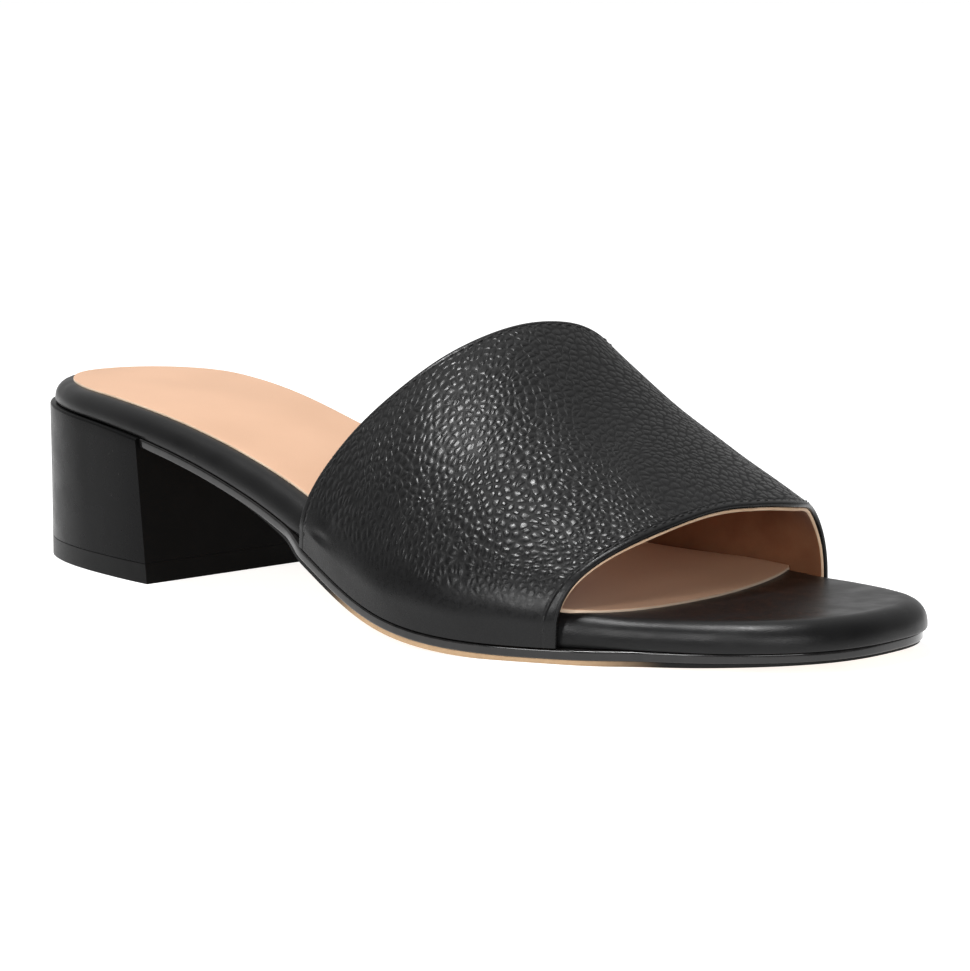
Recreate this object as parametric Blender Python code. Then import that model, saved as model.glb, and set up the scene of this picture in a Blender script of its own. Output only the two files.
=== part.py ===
"""Block heel slide sandal, right foot: outsole, footbed, sock lining, upper, heel block and top lift.

Metres, +X towards the toe, -Y the lateral side, +Z up, origin at the bottom centre of the whole shoe.
"""
import bpy
import bmesh
import math
import numpy as np

for old in list(bpy.data.objects):
    bpy.data.objects.remove(old, do_unlink=True)
for old in list(bpy.data.meshes):
    bpy.data.meshes.remove(old)
for old in list(bpy.data.materials):
    bpy.data.materials.remove(old)

# Driving sizes, metres
LENGTH = 0.2455
BALL_WIDTH = 0.0855
HEEL_HEIGHT = 0.0400
GAP = 0.0003

# Footbed outline: share of the length, then half widths as shares of the ball width
OUTLINE = {
    "share":   (0.00, 0.10, 0.20, 0.32, 0.45, 0.58, 0.68, 0.80, 0.92, 1.00),
    "lateral": (0.264, 0.305, 0.350, 0.369, 0.415, 0.493, 0.504, 0.435, 0.377, 0.358),
    "medial":  (0.342, 0.358, 0.325, 0.274, 0.296, 0.408, 0.496, 0.478, 0.373, 0.338),
}
TOE_SWING = 0.0150
SWING_START = 0.60
HEEL_ROUND = 0.0307
HEEL_POWER = 2.15
TOE_ROUND = {"lateral": 0.0346, "medial": 0.0425}
TOE_POWER = {"lateral": 2.56, "medial": 2.48}

# Height of the footbed's underside, as a share of the heel height
PROFILE = {
    "share":  (0.00, 0.12, 0.24, 0.36, 0.48, 0.58, 0.68, 0.78, 0.88, 1.00),
    "height": (1.000, 0.9625, 0.875, 0.698, 0.459, 0.215, 0.102, 0.0877, 0.104, 0.145),
}

# Footbed
FOOTBED_HEEL = 0.0044
FOOTBED_TOE = 0.0056
FOOTBED_GROWN = 0.60
FOOTBED_EDGE = 0.0045
FOOTBED_ROLL = 0.77
FOOTBED_FOOT = 0.0007
BALL_CUP = 0.0015
CUP_PLACE = {"start": 0.50, "rise": 0.16, "end": 0.84, "fall": 0.12}
SOCK_THICK = 0.0010
SOCK_MARGIN = {"lateral": 0.0059, "medial": 0.0040}
SOCK_HEEL_MARGIN = 0.0046
SOCK_BALL_MARGIN = {"lateral": 0.0030, "medial": 0.0018}
SOCK_BALL_START = 0.50
SOCK_BALL_GROWN = 0.25
SOCK_TIP = 0.2008
SOCK_ROUND = {"lateral": 0.0120, "medial": 0.0090}
SOCK_POWER = {"lateral": 2.5, "medial": 1.4}

# Outsole: black edge layer over a leather layer
EDGE_LAYER = 0.0021
LEATHER_SHANK = 0.0002
LEATHER_BALL = 0.00125
LEATHER_TOE = 0.0006
LEATHER_SET_IN = 0.0007
LEATHER_KNEE = 0.1
BALL_START = 0.36
BALL_RISE = 0.12
TOE_START = 0.82
TOE_FALL = 0.18
EDGE_BEVEL = 0.0004
WELT_OUT = 0.0002
WELT_BAND = 0.0026
WELT_TOE = -0.0010
WELT_PLACE = {"start": 0.445, "rise": 0.05, "end": 0.85, "fall": 0.06}
WELT_TOE_START = 0.84
WELT_TOE_FALL = 0.12

# Heel block and top lift
BREAST_TOP = 0.0549
BREAST_BOTTOM = 0.0569
BREAST_SKEW = 0.0047
RIM_OUT = 0.0013
HEEL_TAPER = 0.0017
HEEL_BACK = -0.0009
HEEL_SHIFT = -0.0015
FOOT_ROUND = 0.0364
FOOT_POWER = 2.50
RIM_BEVEL = 0.0006
LIFT_THICK = 0.0050
LIFT_SET_IN = 0.0002

# Upper
WALL = 0.0023
WALL_RISE = 0.0050
INSTEP_HEIGHT = 0.0745
# Ridge of the last: height as a share of the instep height, offset to the medial side as a share of
# the ball width, and the power of the curve down each side
RIDGE = {
    "share":   (0.468, 0.570, 0.672, 0.774, 0.876),
    "height":  (1.000, 0.948, 0.716, 0.507, 0.325),
    "offset":  (0.302, 0.260, 0.225, 0.210, 0.200),
    "lateral": (1.50, 1.62, 1.745, 1.87, 1.99),
    "medial":  (2.45, 2.48, 2.50, 2.53, 2.56),
}
# Band edges: place across the foot, -1 lateral to 1 medial, then the rear and front edge as shares
# of the length
BAND = {
    "across": (-1.0, -0.7, -0.4, -0.1, 0.2, 0.5, 0.75, 1.0),
    "rear":   (0.484, 0.496, 0.544, 0.591, 0.613, 0.589, 0.556, 0.519),
    "front":  (0.780, 0.787, 0.814, 0.828, 0.836, 0.818, 0.814, 0.815),
}
WALL_SHARE = 0.1

# Steps along and across
SLOPE_STEP = 0.004
LONG_STEPS = 52
HEEL_STEPS = 20
TOP_STEPS = 8
BAND_STEPS = 18
SIDE_STEPS = {"lateral": 24, "medial": 20}


def smooth_step(value):
    t = min(max(value, 0.0), 1.0)
    return t * t * (3.0 - 2.0 * t)


def spline(knots, values):
    x = np.array(knots, float)
    y = np.array(values, float)
    n = len(x)
    h = np.diff(x)
    matrix = np.eye(n)
    right = np.zeros(n)
    for i in range(1, n - 1):
        matrix[i, i - 1] = h[i - 1]
        matrix[i, i] = 2.0 * (h[i - 1] + h[i])
        matrix[i, i + 1] = h[i]
        right[i] = 6.0 * ((y[i + 1] - y[i]) / h[i] - (y[i] - y[i - 1]) / h[i - 1])
    bend = np.linalg.solve(matrix, right)

    def at(value):
        v = min(max(value, x[0]), x[-1])
        i = int(min(max(np.searchsorted(x, v) - 1, 0), n - 2))
        a = (x[i + 1] - v) / h[i]
        b = (v - x[i]) / h[i]
        curve = ((a ** 3 - a) * bend[i] + (b ** 3 - b) * bend[i + 1]) * h[i] ** 2 / 6.0
        return float(a * y[i] + b * y[i + 1] + curve)

    return at


half_lateral = spline(OUTLINE["share"], OUTLINE["lateral"])
half_medial = spline(OUTLINE["share"], OUTLINE["medial"])
HALF = {"lateral": half_lateral, "medial": half_medial}
SIDE = {"lateral": -1.0, "medial": 1.0}
underside = spline(PROFILE["share"], PROFILE["height"])


def base_height(share):
    return HEEL_HEIGHT * underside(share)


def centre(share):
    return TOE_SWING * smooth_step((share - SWING_START) / (1.0 - SWING_START))


def end_round(distance, length, power):
    t = min(max(1.0 - distance / length, 0.0), 1.0)
    return max(1.0 - t ** power, 0.0) ** (1.0 / power)


def edge(side, share, out):
    x = share * LENGTH
    half = HALF[side](share) * BALL_WIDTH + out
    heel = end_round(x + out, HEEL_ROUND + out, HEEL_POWER)
    toe = end_round(LENGTH - x + out, TOE_ROUND[side] + out, TOE_POWER[side])
    return centre(share) + SIDE[side] * half * heel * toe


def lift(share, y, height):
    inside = min(max(share, 0.0), 1.0)
    low = max(inside - SLOPE_STEP, 0.0)
    high = min(inside + SLOPE_STEP, 1.0)
    slope = (base_height(high) - base_height(low)) / ((high - low) * LENGTH)
    size = math.hypot(slope, 1.0)
    return (share * LENGTH - slope / size * height, y, base_height(inside) + height / size)


def stations(first, last, count):
    return [first + (last - first) * (1.0 - math.cos(math.pi * i / count)) / 2.0 for i in range(count + 1)]


def bump(share, place):
    """From 0 up to 1 and back to 0 along the shoe."""
    up = smooth_step((share - place["start"]) / place["rise"])
    return up * smooth_step((place["end"] - share) / place["fall"])


def footbed_top(share):
    thick = FOOTBED_HEEL + (FOOTBED_TOE - FOOTBED_HEEL) * smooth_step(share / FOOTBED_GROWN)
    return thick + BALL_CUP * bump(share, CUP_PLACE)


def cup_drop(share, across):
    return BALL_CUP * bump(share, CUP_PLACE) * max(1.0 - across * across, 0.0)


def closed_loop(rows, tip_front, tip_back):
    """One loop of points: lateral heel to toe, then medial toe to heel, tips used once."""
    lateral = rows["lateral"]
    medial = rows["medial"][::-1]
    if tip_front:
        medial = medial[1:]
    if tip_back:
        medial = medial[:-1]
    return lateral + medial


class Body:
    def __init__(self):
        self.points = []
        self.faces = []

    def add(self, loop):
        first = len(self.points)
        self.points.extend(loop)
        return list(range(first, first + len(loop)))

    def skin(self, low, high):
        n = len(low)
        for i in range(n):
            j = (i + 1) % n
            self.faces.append((low[i], low[j], high[j], high[i]))

    def lid(self, loop, shares, tip_front, tip_back, columns, place):
        """Close a loop by rungs from the lateral to the medial points, with columns between them."""
        count = len(shares)
        lateral = loop[:count]
        medial = loop[count:][::-1]
        if tip_front:
            medial = medial + [lateral[-1]]
        if tip_back:
            medial = [lateral[0]] + medial
        rungs = []
        for i in range(count):
            if lateral[i] == medial[i]:
                rungs.append([lateral[i]])
                continue
            inner = []
            for k in range(1, columns):
                inner.append(len(self.points))
                ends = (self.points[lateral[i]], self.points[medial[i]])
                self.points.append(place(ends[0], ends[1], shares[i], k / columns))
            rungs.append([lateral[i]] + inner + [medial[i]])
        for low, high in zip(rungs[:-1], rungs[1:]):
            if len(low) == 1:
                for k in range(len(high) - 1):
                    self.faces.append((low[0], high[k], high[k + 1]))
            elif len(high) == 1:
                for k in range(len(low) - 1):
                    self.faces.append((low[k], high[0], low[k + 1]))
            else:
                for k in range(len(low) - 1):
                    self.faces.append((low[k], high[k], high[k + 1], low[k + 1]))


def straight(a, b, share, part):
    return tuple(a[k] + (b[k] - a[k]) * part for k in range(3))


def cupped(a, b, share, part):
    x, y, z = straight(a, b, share, part)
    return (x, y, z - cup_drop(share, 2.0 * part - 1.0))


def make_object(name, body, colour, roughness, sharp_angle):
    mesh = bpy.data.meshes.new(name)
    mesh.from_pydata([tuple(p) for p in body.points], [], body.faces)
    mesh.update()
    work = bmesh.new()
    work.from_mesh(mesh)
    bmesh.ops.recalc_face_normals(work, faces=work.faces)
    if work.calc_volume(signed=True) < 0.0:
        bmesh.ops.reverse_faces(work, faces=work.faces)
    for face in work.faces:
        face.smooth = True
    for link in work.edges:
        if len(link.link_faces) == 2:
            link.smooth = link.calc_face_angle() < math.radians(sharp_angle)
    work.to_mesh(mesh)
    work.free()
    obj = bpy.data.objects.new(name, mesh)
    bpy.context.scene.collection.objects.link(obj)
    material = bpy.data.materials.new(name)
    material.use_nodes = True
    shader = material.node_tree.nodes["Principled BSDF"]
    shader.inputs["Base Color"].default_value = colour
    shader.inputs["Roughness"].default_value = roughness
    mesh.materials.append(material)
    return obj


# Footbed: rounded foot, upright side, a roll over most of its thickness, cupped under the ball
def footbed_body():
    body = Body()
    steps = []
    for angle in (-90, -45, 0):
        a = math.radians(angle)
        steps.append((-FOOTBED_FOOT * (1.0 - math.cos(a)), FOOTBED_FOOT * (1.0 + math.sin(a)), 0.0))
    for angle in (0, 22.5, 45, 67.5, 90):
        a = math.radians(angle)
        steps.append((-FOOTBED_EDGE * (1.0 - math.cos(a)), 0.0, 1.0 - FOOTBED_ROLL * (1.0 - math.sin(a))))
    loops = []
    for out, height, top in steps:
        low = -out / LENGTH
        shares = stations(low, 1.0 - low, LONG_STEPS)

        def level(share, height=height, top=top):
            return height + top * footbed_top(share)

        rows = {}
        for side in ("lateral", "medial"):
            rows[side] = [lift(s, edge(side, s, out), level(s)) for s in shares]
        loops.append((body.add(closed_loop(rows, True, True)), shares))
    for (low_loop, _), (high_loop, _) in zip(loops[:-1], loops[1:]):
        body.skin(low_loop, high_loop)
    body.lid(loops[0][0], loops[0][1], True, True, 1, straight)
    body.lid(loops[-1][0], loops[-1][1], True, True, TOP_STEPS, cupped)
    return body


# Sock lining: a thin sheet on the footbed with a round front end
def sock_line(side, share):
    x = share * LENGTH
    grow = smooth_step(share / FOOTBED_GROWN)
    ball = smooth_step((share - SOCK_BALL_START) / SOCK_BALL_GROWN)
    margin = SOCK_HEEL_MARGIN + (SOCK_MARGIN[side] - SOCK_HEEL_MARGIN) * grow
    margin = margin + (SOCK_BALL_MARGIN[side] - SOCK_MARGIN[side]) * ball
    base = HALF[side](share) * BALL_WIDTH - margin
    heel = end_round(x - SOCK_HEEL_MARGIN, HEEL_ROUND - SOCK_HEEL_MARGIN, HEEL_POWER)
    toe = end_round(SOCK_TIP - x, SOCK_ROUND[side], SOCK_POWER[side])
    return centre(share) + SIDE[side] * base * heel * toe


def sock_body():
    body = Body()
    low = SOCK_HEEL_MARGIN / LENGTH
    high = SOCK_TIP / LENGTH
    shares = stations(low, high, LONG_STEPS)
    loops = []
    for extra in (GAP, GAP + SOCK_THICK):

        def level(share, extra=extra):
            return footbed_top(share) + extra

        def drop(side, share):
            half = edge(side, share, -FOOTBED_EDGE) - centre(share)
            return cup_drop(share, (sock_line(side, share) - centre(share)) / half)

        rows = {}
        for side in ("lateral", "medial"):
            rows[side] = [lift(s, sock_line(side, s), level(s) - drop(side, s)) for s in shares]
        loops.append(body.add(closed_loop(rows, True, True)))
    body.skin(loops[0], loops[1])

    def on_cup(a, b, share, part):
        x, y, z = straight(a, b, share, part)
        sides = [edge(side, share, -FOOTBED_EDGE) - centre(share) for side in ("lateral", "medial")]
        ends = []
        for point in (a, b, (x, y, z)):
            offset = point[1] - centre(share)
            across = offset / abs(sides[0]) if offset < 0 else offset / abs(sides[1])
            ends.append(cup_drop(share, across))
        flat = ends[0] + (ends[1] - ends[0]) * part
        return (x, y, z + flat - ends[2])

    body.lid(loops[0], shares, True, True, TOP_STEPS, on_cup)
    body.lid(loops[1], shares, True, True, TOP_STEPS, on_cup)
    return body


# Outsole: from the breast of the heel to the toe, wider under the upper
def welt(share):
    band = (WELT_BAND - WELT_OUT) * bump(share, WELT_PLACE)
    toe = (WELT_TOE - WELT_OUT) * smooth_step((share - WELT_TOE_START) / WELT_TOE_FALL)
    return WELT_OUT + band + toe


def leather(share):
    ball = (LEATHER_BALL - LEATHER_SHANK) * smooth_step((share - BALL_START) / BALL_RISE)
    toe = (LEATHER_TOE - LEATHER_BALL) * smooth_step((share - TOE_START) / TOE_FALL)
    return LEATHER_SHANK + ball + toe


def breast(side, part):
    """Breast of the heel at one side: part runs from 0 at the seat to 1 on the floor."""
    skew = BREAST_SKEW if side == "medial" else 0.0
    return BREAST_TOP + (BREAST_BOTTOM - BREAST_TOP) * part + skew


def outsole_body():
    body = Body()
    under = GAP + EDGE_LAYER
    part = (under + LEATHER_SHANK) / HEEL_HEIGHT
    start = {side: breast(side, part) + GAP for side in ("lateral", "medial")}
    steps = (
        (-LEATHER_SET_IN, lambda s: -(under + leather(s))),
        (-LEATHER_SET_IN, lambda s: -(under + LEATHER_KNEE * leather(s))),
        (-EDGE_BEVEL, lambda s: -under),
        (0.0, lambda s: -(under - EDGE_BEVEL)),
        (0.0, lambda s: -(GAP + EDGE_BEVEL)),
        (-EDGE_BEVEL, lambda s: -GAP),
    )
    loops = []
    for out, level in steps:
        last = 1.0 + (WELT_TOE + out) / LENGTH
        rows = {}
        for side in ("lateral", "medial"):
            first = start[side]
            shares = stations(first / LENGTH, last, LONG_STEPS)
            line = [lift(s, edge(side, s, welt(s) + out), level(s)) for s in shares]
            line[0] = (first, line[0][1], line[0][2])
            rows[side] = [(max(x, first), y, max(z, 0.0)) for x, y, z in line]
        loops.append((body.add(closed_loop(rows, True, False)), shares))
    for (low_loop, _), (high_loop, _) in zip(loops[:-1], loops[1:]):
        body.skin(low_loop, high_loop)
    body.lid(loops[0][0], loops[0][1], True, False, 1, straight)
    body.lid(loops[-1][0], loops[-1][1], True, False, 1, straight)
    return body


# Heel: D outline at the seat, tapering to a D outline on the floor, flat breast
def heel_rows(set_in, count):
    """Top and floor outlines of the heel with matching points."""
    out = RIM_OUT - set_in
    first = -out / LENGTH
    top = {"lateral": [], "medial": []}
    floor = {"lateral": [], "medial": []}
    for i in range(count + 1):
        turn = (1.0 - math.cos(math.pi * i / count)) / 2.0
        for side in ("lateral", "medial"):
            share = first + (breast(side, 0.0) / LENGTH - first) * turn
            x = HEEL_BACK + set_in + (breast(side, 1.0) - HEEL_BACK - set_in) * turn
            inside = min(max(x / LENGTH, 0.0), 1.0)
            y = edge(side, share, out)
            z = base_height(min(max(share, 0.0), 1.0)) - GAP
            top[side].append((share * LENGTH, y, z))
            half = HALF[side](inside) * BALL_WIDTH - HEEL_TAPER - set_in
            half = half * end_round(x - HEEL_BACK - set_in, FOOT_ROUND, FOOT_POWER)
            floor[side].append((x, HEEL_SHIFT + SIDE[side] * half, 0.0))
    return top, floor


def at_height(top, floor, height):
    """Slide each point along its wall to one height."""
    rows = {}
    for side in ("lateral", "medial"):
        line = []
        for high, low in zip(top[side], floor[side]):
            part = height / high[2]
            line.append(tuple(low[k] + (high[k] - low[k]) * part for k in range(3)))
        rows[side] = line
    return closed_loop(rows, False, True)


def heel_block_body():
    body = Body()
    top, floor = heel_rows(0.0, HEEL_STEPS)
    inner_top = heel_rows(RIM_BEVEL, HEEL_STEPS)[0]
    bottom = LIFT_THICK + GAP
    shares = [0.0] * (HEEL_STEPS + 1)
    low = body.add(at_height(top, floor, bottom))
    rim = body.add([(x, y, z - RIM_BEVEL) for x, y, z in closed_loop(top, False, True)])
    seat = body.add(closed_loop(inner_top, False, True))
    body.skin(low, rim)
    body.skin(rim, seat)
    body.lid(low, shares, False, True, 1, straight)
    body.lid(seat, shares, False, True, 1, straight)
    return body


def top_lift_body():
    body = Body()
    top, floor = heel_rows(LIFT_SET_IN, HEEL_STEPS)
    shares = [0.0] * (HEEL_STEPS + 1)
    low = body.add(at_height(top, floor, 0.0))
    high = body.add(at_height(top, floor, LIFT_THICK))
    body.skin(low, high)
    body.lid(low, shares, False, True, 1, straight)
    body.lid(high, shares, False, True, 1, straight)
    return body


# Upper: one hollow band over the last
ridge_height = spline(RIDGE["share"], RIDGE["height"])
ridge_offset = spline(RIDGE["share"], RIDGE["offset"])
side_power = {side: spline(RIDGE["share"], RIDGE[side]) for side in ("lateral", "medial")}
band_rear = spline(BAND["across"], BAND["rear"])
band_front = spline(BAND["across"], BAND["front"])


def band_point(share, across):
    """Outer face of the upper: an upright wall by the footbed, then a curve up to the ridge."""
    side = "lateral" if across < 0 else "medial"
    foot = edge(side, share, GAP + WALL)
    low = base_height(share)
    far = abs(across)
    if far > 1.0 - WALL_SHARE:
        return (share * LENGTH, foot, low + (1.0 - far) / WALL_SHARE * WALL_RISE)
    ridge = ridge_offset(share) * BALL_WIDTH
    crown = ridge_height(share) * INSTEP_HEIGHT
    power = side_power[side](share)
    turn = (1.0 - far / (1.0 - WALL_SHARE)) * math.pi / 2.0
    reach = max(math.cos(turn), 0.0) ** (2.0 / power)
    rise = max(math.sin(turn), 0.0) ** (2.0 / power)
    start = low + WALL_RISE
    return (share * LENGTH, ridge + (foot - ridge) * reach, start + (crown - start) * rise)


def across_values():
    knee = 1.0 - WALL_SHARE
    values = [-1.0, -1.0 + WALL_SHARE / 2.0]
    values += [-knee + knee * i / SIDE_STEPS["lateral"] for i in range(SIDE_STEPS["lateral"] + 1)]
    values += [knee * i / SIDE_STEPS["medial"] for i in range(1, SIDE_STEPS["medial"] + 1)]
    values += [1.0 - WALL_SHARE / 2.0, 1.0]
    return values


def band_grid(values, steps):
    rows = []
    for across in values:
        rear = band_rear(across)
        front = band_front(across)
        rows.append([band_point(rear + (front - rear) * i / steps, across) for i in range(steps + 1)])
    return np.array(rows)


def band_normals(grid):
    along = np.gradient(grid, axis=1)
    over = np.gradient(grid, axis=0)
    normal = np.cross(over, along)
    normal[0, :, 2] = 0.0
    normal[-1, :, 2] = 0.0
    normal /= np.linalg.norm(normal, axis=2)[:, :, None]
    if normal[len(grid) // 2, 0, 2] < 0.0:
        normal = -normal
    return normal


def upper_body():
    body = Body()
    outer = band_grid(across_values(), BAND_STEPS)
    inner = outer - band_normals(outer) * WALL
    sheets = []
    for sheet in (outer, inner):
        sheets.append([body.add([tuple(p) for p in row]) for row in sheet])
    count = len(outer)
    for sheet in sheets:
        for i in range(count - 1):
            for j in range(BAND_STEPS):
                body.faces.append((sheet[i][j], sheet[i + 1][j], sheet[i + 1][j + 1], sheet[i][j + 1]))
    top, under = sheets
    for i in range(count - 1):
        for j in (0, BAND_STEPS):
            body.faces.append((top[i][j], top[i + 1][j], under[i + 1][j], under[i][j]))
    for j in range(BAND_STEPS):
        for i in (0, count - 1):
            body.faces.append((top[i][j], top[i][j + 1], under[i][j + 1], under[i][j]))
    return body


BLACK = (0.012, 0.012, 0.013, 1.0)
NUDE = (0.80, 0.56, 0.42, 1.0)
pieces = (
    ("outsole", outsole_body(), BLACK, 0.35, 30.0),
    ("footbed", footbed_body(), BLACK, 0.45, 35.0),
    ("sock_lining", sock_body(), NUDE, 0.60, 35.0),
    ("upper", upper_body(), BLACK, 0.50, 40.0),
    ("heel_block", heel_block_body(), BLACK, 0.40, 30.0),
    ("top_lift", top_lift_body(), BLACK, 0.60, 30.0),
)
corner_low = [min(p[k] for piece in pieces for p in piece[1].points) for k in range(3)]
corner_high = [max(p[k] for piece in pieces for p in piece[1].points) for k in range(3)]
shift = [-(corner_low[0] + corner_high[0]) / 2.0, -(corner_low[1] + corner_high[1]) / 2.0, -corner_low[2]]
for name, body, colour, roughness, sharp_angle in pieces:
    body.points = [tuple(p[k] + shift[k] for k in range(3)) for p in body.points]
    make_object(name, body, colour, roughness, sharp_angle)
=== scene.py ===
"""Block heel slide sandal, right foot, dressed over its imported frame.

Metres, +X towards the toe, -Y the lateral side, +Z up.
"""
import math

import bmesh
import bpy
import numpy as np
from mathutils import Matrix, Vector


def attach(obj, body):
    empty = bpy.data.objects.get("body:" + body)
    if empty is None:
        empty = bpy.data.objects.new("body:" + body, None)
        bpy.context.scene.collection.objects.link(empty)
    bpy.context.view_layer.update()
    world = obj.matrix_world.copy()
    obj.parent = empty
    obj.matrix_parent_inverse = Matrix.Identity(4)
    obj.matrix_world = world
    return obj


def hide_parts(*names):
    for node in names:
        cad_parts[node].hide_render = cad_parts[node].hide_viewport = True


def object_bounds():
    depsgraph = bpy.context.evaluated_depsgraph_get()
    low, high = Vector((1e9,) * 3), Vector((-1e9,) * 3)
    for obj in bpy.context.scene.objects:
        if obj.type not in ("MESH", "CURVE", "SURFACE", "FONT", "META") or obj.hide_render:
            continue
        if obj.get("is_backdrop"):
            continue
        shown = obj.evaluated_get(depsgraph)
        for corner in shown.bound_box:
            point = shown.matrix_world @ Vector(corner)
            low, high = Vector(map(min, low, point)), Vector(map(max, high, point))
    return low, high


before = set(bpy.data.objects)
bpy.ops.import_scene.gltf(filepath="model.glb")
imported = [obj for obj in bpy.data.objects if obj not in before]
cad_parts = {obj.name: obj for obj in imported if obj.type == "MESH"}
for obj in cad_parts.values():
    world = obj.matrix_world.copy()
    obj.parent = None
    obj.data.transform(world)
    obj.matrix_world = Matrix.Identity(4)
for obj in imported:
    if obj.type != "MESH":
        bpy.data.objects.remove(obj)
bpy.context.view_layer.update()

# Sizes shared with the part
LENGTH = 0.2455
BALL_WIDTH = 0.0855
HEEL_HEIGHT = 0.0400
GAP = 0.0003
SLOPE_STEP = 0.004
SHIFT = np.array([-0.122078, -0.002622, 0.0])

OUTLINE = {
    "share":   (0.00, 0.10, 0.20, 0.32, 0.45, 0.58, 0.68, 0.80, 0.92, 1.00),
    "lateral": (0.264, 0.305, 0.350, 0.369, 0.415, 0.493, 0.504, 0.435, 0.377, 0.358),
    "medial":  (0.342, 0.358, 0.325, 0.274, 0.296, 0.408, 0.496, 0.478, 0.373, 0.338),
}
TOE_SWING = 0.0150
SWING_START = 0.60
HEEL_ROUND = 0.0307
HEEL_POWER = 2.15
TOE_ROUND = {"lateral": 0.0346, "medial": 0.0425}
TOE_POWER = {"lateral": 2.56, "medial": 2.48}
PROFILE = {
    "share":  (0.00, 0.12, 0.24, 0.36, 0.48, 0.58, 0.68, 0.78, 0.88, 1.00),
    "height": (1.000, 0.9625, 0.875, 0.698, 0.459, 0.215, 0.102, 0.0877, 0.104, 0.145),
}
FOOTBED_HEEL = 0.0044
FOOTBED_TOE = 0.0056
FOOTBED_GROWN = 0.60
FOOTBED_EDGE = 0.0045
FOOTBED_ROLL = 0.77
FOOTBED_FOOT = 0.0007
BALL_CUP = 0.0015
CUP_PLACE = {"start": 0.50, "rise": 0.16, "end": 0.84, "fall": 0.12}
SOCK_THICK = 0.0010
SOCK_MARGIN = {"lateral": 0.0059, "medial": 0.0040}
SOCK_HEEL_MARGIN = 0.0046
SOCK_BALL_MARGIN = {"lateral": 0.0030, "medial": 0.0018}
SOCK_BALL_START = 0.50
SOCK_BALL_GROWN = 0.25
SOCK_TIP = 0.2008
SOCK_ROUND = {"lateral": 0.0120, "medial": 0.0090}
SOCK_POWER = {"lateral": 2.5, "medial": 1.4}
EDGE_LAYER = 0.0021
LEATHER_SHANK = 0.0002
LEATHER_BALL = 0.00125
LEATHER_TOE = 0.0006
LEATHER_SET_IN = 0.0007
EDGE_BEVEL = 0.0004
WELT_OUT = 0.0002
WELT_BAND = 0.0026
WELT_TOE = -0.0010
WELT_PLACE = {"start": 0.445, "rise": 0.05, "end": 0.85, "fall": 0.06}
BREAST_TOP = 0.0549
BREAST_BOTTOM = 0.0569
BREAST_SKEW = 0.0047
RIM_OUT = 0.0013
HEEL_TAPER = 0.0017
HEEL_BACK = -0.0009
HEEL_SHIFT = -0.0015
FOOT_ROUND = 0.0364
FOOT_POWER = 2.50
LIFT_THICK = 0.0050
WALL = 0.0023
WALL_RISE = 0.0050
WALL_SHARE = 0.1
INSTEP_HEIGHT = 0.0745
RIDGE = {
    "share":   (0.468, 0.570, 0.672, 0.774, 0.876),
    "height":  (1.000, 0.948, 0.716, 0.507, 0.325),
    "offset":  (0.302, 0.260, 0.225, 0.210, 0.200),
    "lateral": (1.50, 1.62, 1.745, 1.87, 1.99),
    "medial":  (2.45, 2.48, 2.50, 2.53, 2.56),
}
BAND = {
    "across": (-1.0, -0.7, -0.4, -0.1, 0.2, 0.5, 0.75, 1.0),
    "rear":   (0.484, 0.496, 0.544, 0.591, 0.613, 0.589, 0.556, 0.519),
    "front":  (0.780, 0.787, 0.814, 0.828, 0.836, 0.818, 0.814, 0.815),
}

# Sizes of the trim that the part leaves out
SKIN = 0.00130
LAYER_GAP = 0.00005
LINING = 0.00085
LINING_IN = {"rear": 0.0009, "front": 0.0002}
LINING_FOOT_IN = 0.0018
STITCH_FOOT = {"front": 0.0030, "rear": 0.0022}
STITCH_ARCH = {"front": 0.0016, "rear": 0.0015}
STITCH_PITCH = 0.0026
STITCH_LONG = 0.0019
STITCH_WIDE = 0.00046
STITCH_SUNK = 0.00024
STITCH_RINGS = 7
STITCH_SIDES = 8
STITCH_REACH = 0.97
WRAP_RAISE = 0.0007
BED_SINK = 0.00022
SOCK_SOFT = 0.0003
SOCK_SINK = 0.0005
BARE = {"start": 0.535, "rise": 0.06, "end": 0.87, "fall": 0.08}
RIM_SOFT = 0.0007
LIFT_SEAM = 0.00006
LIFT_SOFT = 0.00015

# Steps of the meshes, and small steps for slopes, in shares of the length and of the way across
FOOT_STEPS = 160
HEEL_STEPS = 60
BREAST_STEPS = 24
BED_COLUMNS = 40
SOCK_COLUMNS = {"top": 36, "bottom": 12}
SOLE_COLUMNS = {"top": 2, "bottom": 16}
EDGE_ROUND_STEPS = 9
LINING_COLUMNS = 70
SHARE_STEP = 0.002
NORMAL_STEP = 0.004
LINE_STEP = 0.01


def arc(first, last, count):
    """Angles in radians, evenly spaced."""
    return np.radians(np.linspace(first, last, count))


def smooth_step(value):
    t = np.clip(value, 0.0, 1.0)
    return t * t * (3.0 - 2.0 * t)


def spline(knots, values):
    x = np.array(knots, float)
    y = np.array(values, float)
    n = len(x)
    h = np.diff(x)
    matrix = np.eye(n)
    right = np.zeros(n)
    for i in range(1, n - 1):
        matrix[i, i - 1] = h[i - 1]
        matrix[i, i] = 2.0 * (h[i - 1] + h[i])
        matrix[i, i + 1] = h[i]
        right[i] = 6.0 * ((y[i + 1] - y[i]) / h[i] - (y[i] - y[i - 1]) / h[i - 1])
    bend = np.linalg.solve(matrix, right)

    def at(value):
        v = np.clip(value, x[0], x[-1])
        i = np.clip(np.searchsorted(x, v) - 1, 0, n - 2)
        a = (x[i + 1] - v) / h[i]
        b = (v - x[i]) / h[i]
        curve = ((a ** 3 - a) * bend[i] + (b ** 3 - b) * bend[i + 1]) * h[i] ** 2 / 6.0
        return a * y[i] + b * y[i + 1] + curve

    return at


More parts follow.
